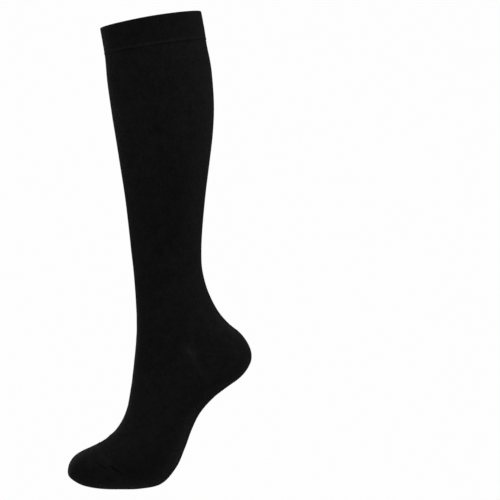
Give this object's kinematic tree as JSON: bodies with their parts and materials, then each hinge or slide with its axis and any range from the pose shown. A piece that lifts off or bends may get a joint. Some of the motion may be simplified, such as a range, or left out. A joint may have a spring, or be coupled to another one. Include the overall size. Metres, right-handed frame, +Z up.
{
  "type": "compression stocking",
  "caption": "Black knee-high compression stocking, filled out on a raised-heel foot with no wearer: doubled welt, graduated ribbed leg, heel pocket, foot and closed toe, open at the top.",
  "frame": {"origin": "middle of the top opening, where the leg goes in and the welt grips it", "axes": "+Z up the leg and out of the top opening, -X the way the toes point, Y across the stocking, which is the same on both sides of Y = 0"},
  "size_m": [0.2035, 0.105, 0.5292],
  "materials": {
    "doubled_knit": "matte black doubled elastic knit, very fine upright ribs, soft rim of fuzz",
    "ribbed_knit": "matte black elastic knit with very fine ribs along the leg and a soft rim of fuzz",
    "plain_knit": "matte black plain knit of the heel and toe pockets, slightly denser than the leg"
  },
  "bodies": {
    "root": {"welt": "doubled_knit", "leg_calf": "ribbed_knit", "leg_ankle": "ribbed_knit", "heel_pocket": "plain_knit", "foot_arch": "ribbed_knit", "foot_ball": "ribbed_knit", "toe_pocket": "plain_knit"}
  },
  "joints": []
}
